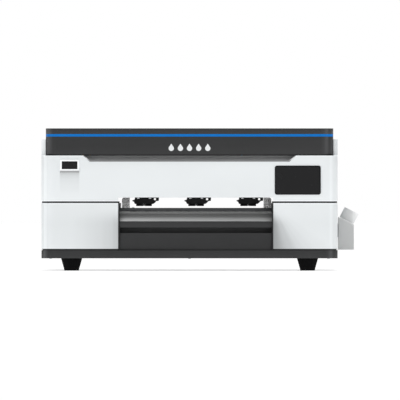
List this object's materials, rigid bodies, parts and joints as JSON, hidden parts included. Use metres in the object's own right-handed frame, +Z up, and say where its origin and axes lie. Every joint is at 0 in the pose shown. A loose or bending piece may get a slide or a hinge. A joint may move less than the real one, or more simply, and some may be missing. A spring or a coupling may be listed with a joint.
{
  "type": "desktop uv printer",
  "caption": "Desktop UV film printer with a hinged dark lid, an open film path with pinch rollers over a platen, a gantry print carriage and a side waste ink bottle.",
  "frame": {"origin": "floor level, at the centre of the outline seen from above", "axes": "+X to the right seen from the front, +Y to the back, +Z up"},
  "size_m": [0.836, 0.5702, 0.3746],
  "materials": {
    "dark_coating": "fine matt powder coat",
    "white_coating": "fine matt powder coat",
    "black_coating": "matt powder coat",
    "foot_rubber": "matt",
    "zinc_steel": "satin",
    "gasket_rubber": "matt",
    "grey_plastic": "fine texture",
    "display_glass": "polished",
    "white_plastic": "fine texture",
    "platen_metal": "dark anodised, satin",
    "apron_metal": "brushed, dark",
    "guide_casting": "grained, sand blasted",
    "bare_aluminium": "extruded, satin",
    "ground_steel": "ground",
    "belt_rubber": "ribbed",
    "film_strip": "clear film with fine marks",
    "black_plastic": "fine texture",
    "roller_coating": "fine grit",
    "ink_bottle_plastic": "satin, tinted by the ink",
    "circuit_board": "solder mask",
    "blue_plastic": "satin",
    "lid_plastic": "fine texture",
    "red_plastic": "gloss",
    "bottle_plastic": "frosted, translucent",
    "lamp_aluminium": "anodised"
  },
  "bodies": {
    "body": {"base_pan": "dark_coating", "rubber_feet": "foot_rubber", "foot_bolts": "zinc_steel", "inner_frames": "black_coating", "lower_left_cover": "white_coating", "lower_right_cover": "white_coating", "upper_shell": "white_coating", "rear_panel": "white_coating", "seam_gasket": "gasket_rubber", "grip_recess": "grey_plastic", "display_glass": "display_glass", "status_bezel": "white_plastic", "vacuum_platen": "platen_metal", "front_apron": "apron_metal", "front_lower_cover": "dark_coating", "film_guides": "guide_casting", "gantry_posts": "zinc_steel", "gantry_beam": "bare_aluminium", "linear_rail": "ground_steel", "encoder_strip": "film_strip", "carriage_belt": "belt_rubber", "carriage_motor": "black_coating", "belt_brackets": "zinc_steel", "roller_brackets": "zinc_steel", "feed_motor": "black_coating", "cap_station_base": "black_plastic", "ink_rack": "zinc_steel", "ink_bottles": "ink_bottle_plastic", "ink_bottle_caps": "black_plastic", "power_supply": "zinc_steel", "main_board": "circuit_board", "fan_frame": "black_plastic", "rear_sockets": "black_plastic", "bottle_hanger": "white_plastic", "lid_hinge_base": "zinc_steel"},
    "lid": {"lid": "lid_plastic", "lid_stripe": "blue_plastic", "lid_emblem": "white_plastic", "lid_hinge_leaf": "zinc_steel"},
    "carriage": {"carriage_block": "ground_steel", "carriage_frame": "bare_aluminium", "carriage_cover": "black_plastic", "print_heads": "black_plastic", "ink_dampers": "ink_bottle_plastic", "uv_lamp": "lamp_aluminium"},
    "drive_pulley": {"drive_pulley": "bare_aluminium"},
    "idler_pulley": {"idler_pulley": "bare_aluminium"},
    "feed_roller": {"feed_roller": "roller_coating"},
    "pinch_shaft": {"pinch_shaft": "ground_steel", "pinch_arms": "black_plastic", "pinch_lever": "blue_plastic"},
    "pinch_roller_left": {"pinch_roller_left": "belt_rubber"},
    "pinch_roller_middle": {"pinch_roller_middle": "belt_rubber"},
    "pinch_roller_right": {"pinch_roller_right": "belt_rubber"},
    "cap_sled": {"cap_sled": "grey_plastic", "cap_seals": "gasket_rubber"},
    "fan_rotor": {"fan_rotor": "black_plastic"},
    "power_switch": {"power_switch": "red_plastic"},
    "waste_bottle": {"waste_bottle": "bottle_plastic"},
    "waste_cap": {"waste_cap": "bottle_plastic"}
  },
  "joints": [
    {"name": "lid_hinge", "type": "hinge", "parent": "body", "child": "lid", "pos_m": [-0.02795, 0.2816, 0.304], "axis": [-1, 0, 0], "range_deg": [0, 68]},
    {"name": "carriage_travel", "type": "slide", "parent": "body", "child": "carriage", "axis": [1, 0, 0], "range_m": [-0.47, 0]},
    {"name": "drive_pulley_spin", "type": "hinge", "parent": "body", "child": "drive_pulley", "pos_m": [0.32405, 0.0479, 0.277], "axis": [0, 1, 0], "range_deg": [-4300, 4300]},
    {"name": "idler_pulley_spin", "type": "hinge", "parent": "body", "child": "idler_pulley", "pos_m": [-0.37995, 0.0479, 0.277], "axis": [0, 1, 0], "range_deg": [-4300, 4300]},
    {"name": "feed_roller_spin", "type": "hinge", "parent": "body", "child": "feed_roller", "pos_m": [-0.02795, -0.1201, 0.1549], "axis": [1, 0, 0], "continuous": true},
    {"name": "pinch_lift", "type": "hinge", "parent": "body", "child": "pinch_shaft", "pos_m": [-0.02795, -0.0751, 0.2087], "axis": [1, 0, 0], "range_deg": [0, 5.5]},
    {"name": "pinch_left_spin", "type": "hinge", "parent": "pinch_shaft", "child": "pinch_roller_left", "pos_m": [-0.14845, -0.1201, 0.1732], "axis": [1, 0, 0], "continuous": true},
    {"name": "pinch_middle_spin", "type": "hinge", "parent": "pinch_shaft", "child": "pinch_roller_middle", "pos_m": [-0.01065, -0.1201, 0.1732], "axis": [1, 0, 0], "continuous": true},
    {"name": "pinch_right_spin", "type": "hinge", "parent": "pinch_shaft", "child": "pinch_roller_right", "pos_m": [0.12715, -0.1201, 0.1732], "axis": [1, 0, 0], "continuous": true},
    {"name": "cap_lift", "type": "slide", "parent": "body", "child": "cap_sled", "axis": [0, 0, 1], "range_m": [-0.008, 0]},
    {"name": "fan_spin", "type": "hinge", "parent": "body", "child": "fan_rotor", "pos_m": [-0.31795, 0.2639, 0.101], "axis": [0, 1, 0], "continuous": true},
    {"name": "switch_rock", "type": "hinge", "parent": "body", "child": "power_switch", "pos_m": [-0.24295, 0.2719, 0.122], "axis": [1, 0, 0], "range_deg": [0, 16]},
    {"name": "bottle_lift_off", "type": "slide", "parent": "body", "child": "waste_bottle", "axis": [0, 0, 1], "range_m": [0, 0.12]},
    {"name": "cap_turn", "type": "hinge", "parent": "waste_bottle", "child": "waste_cap", "pos_m": [0.38665, -0.1901, 0.1327], "axis": [0.4571, 0, 0.8894], "range_deg": [0, 540]}
  ],
  "couplings": [
    {"joint": "drive_pulley_spin", "follows": "carriage_travel", "rad_per_m": -156.99},
    {"joint": "idler_pulley_spin", "follows": "carriage_travel", "rad_per_m": -156.99}
  ]
}
